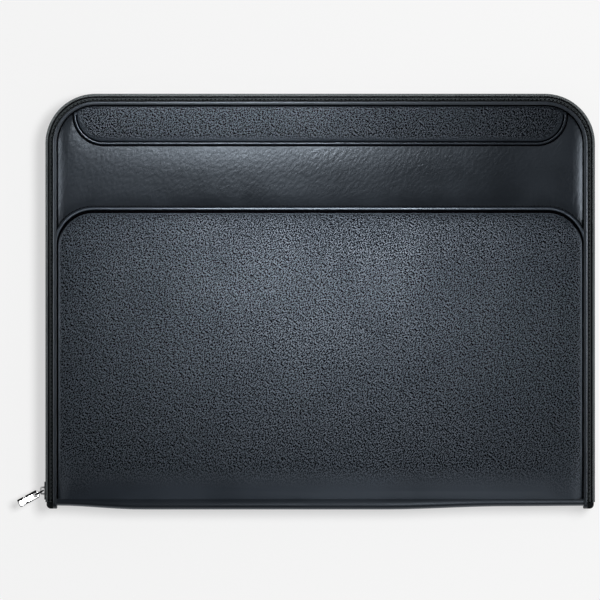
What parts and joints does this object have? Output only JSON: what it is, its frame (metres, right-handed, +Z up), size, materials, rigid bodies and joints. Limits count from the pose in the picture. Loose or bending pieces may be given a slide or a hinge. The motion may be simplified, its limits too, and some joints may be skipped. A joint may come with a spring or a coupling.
{
  "type": "zippered padfolio",
  "caption": "Flat zip-round document case with padded covers, folding spine, zip slider and pull, writing pad in a sleeve and an organiser inside the front cover.",
  "frame": {"origin": "middle of the flat back face, on the surface that the case lies on", "axes": "+X along the spine to the right of the front, +Y from the spine to the far edge, +Z up out of the front cover"},
  "size_m": [0.3543, 0.2541, 0.0286],
  "materials": {
    "grained_leather": "fine pebble grain, satin",
    "smooth_leather": "smooth, satin",
    "edge_leather": "smooth turned edge, satin",
    "inner_leather": "fine grain, matt",
    "lining_cloth": "plain weave, matt",
    "foam": "closed-cell foam, matt",
    "card_board": "grey board, matt",
    "zip_tape": "woven tape, matt",
    "zip_teeth": "moulded, satin",
    "plated_metal": "polished nickel plate",
    "clear_window": "clear film, gloss",
    "elastic": "ribbed elastic, matt",
    "card_back": "grey card, matt",
    "paper": "ruled paper, matt",
    "paper_tape": "cloth binding tape, matt"
  },
  "bodies": {
    "back_cover": {"back_panel": "grained_leather", "back_foam": "foam", "back_board": "card_board", "back_lining": "lining_cloth", "back_binding": "edge_leather", "pad_panel": "inner_leather", "pad_sleeve": "inner_leather", "pen_loop": "elastic", "back_zip_tape": "zip_tape", "back_teeth_slider_side": "zip_teeth", "back_teeth_far_sides": "zip_teeth", "back_zip_stops": "zip_teeth", "back_zip_end_tabs": "edge_leather"},
    "spine": {"spine_panel": "grained_leather", "spine_board": "card_board", "spine_lining": "lining_cloth"},
    "front_cover": {"front_lining": "lining_cloth", "front_board": "card_board", "front_foam": "foam", "front_base_panel": "smooth_leather", "front_top_panel": "grained_leather", "front_main_panel": "grained_leather", "front_binding": "edge_leather", "document_pocket": "inner_leather", "card_slot_1": "inner_leather", "card_slot_2": "inner_leather", "card_slot_3": "inner_leather", "id_window": "clear_window", "id_window_frame": "inner_leather", "tablet_pocket": "inner_leather", "front_zip_tape": "zip_tape", "front_teeth_slider_side": "zip_teeth", "front_teeth_far_sides": "zip_teeth", "front_zip_stops": "zip_teeth", "front_zip_end_tabs": "edge_leather"},
    "slider": {"slider_body": "plated_metal", "slider_crown": "plated_metal"},
    "pull_link": {"pull_link": "plated_metal"},
    "pull_tab": {"pull_tab": "plated_metal"},
    "pad": {"pad_backing": "card_back", "pad_sheets": "paper", "pad_tape": "paper_tape"}
  },
  "joints": [
    {"name": "spine_fold", "type": "hinge", "parent": "back_cover", "child": "spine", "pos_m": [0, -0.12371, 0.00129], "axis": [1, 0, 0], "range_deg": [0, 90]},
    {"name": "cover_fold", "type": "hinge", "parent": "spine", "child": "front_cover", "pos_m": [0, -0.12371, 0.02731], "axis": [1, 0, 0], "range_deg": [0, 90]},
    {"name": "slider_travel", "type": "slide", "parent": "back_cover", "child": "slider", "axis": [0, 1, 0], "range_m": [0, 0.2], "deforming": ["front_teeth_slider_side", "back_teeth_slider_side"]},
    {"name": "link_swing", "type": "hinge", "parent": "slider", "child": "pull_link", "pos_m": [-0.17025, -0.114, 0.0143], "axis": [0, 0, 1], "range_deg": [-80, 35]},
    {"name": "tab_swing", "type": "hinge", "parent": "pull_link", "child": "pull_tab", "pos_m": [-0.17491, -0.11653, 0.0143], "axis": [0, 0, 1], "range_deg": [-45, 45]},
    {"name": "pad_slide", "type": "slide", "parent": "back_cover", "child": "pad", "axis": [-1, 0, 0], "range_m": [0, 0.012]}
  ],
  "couplings": [
    {"joint": "cover_fold", "follows": "spine_fold", "ratio": 1}
  ]
}
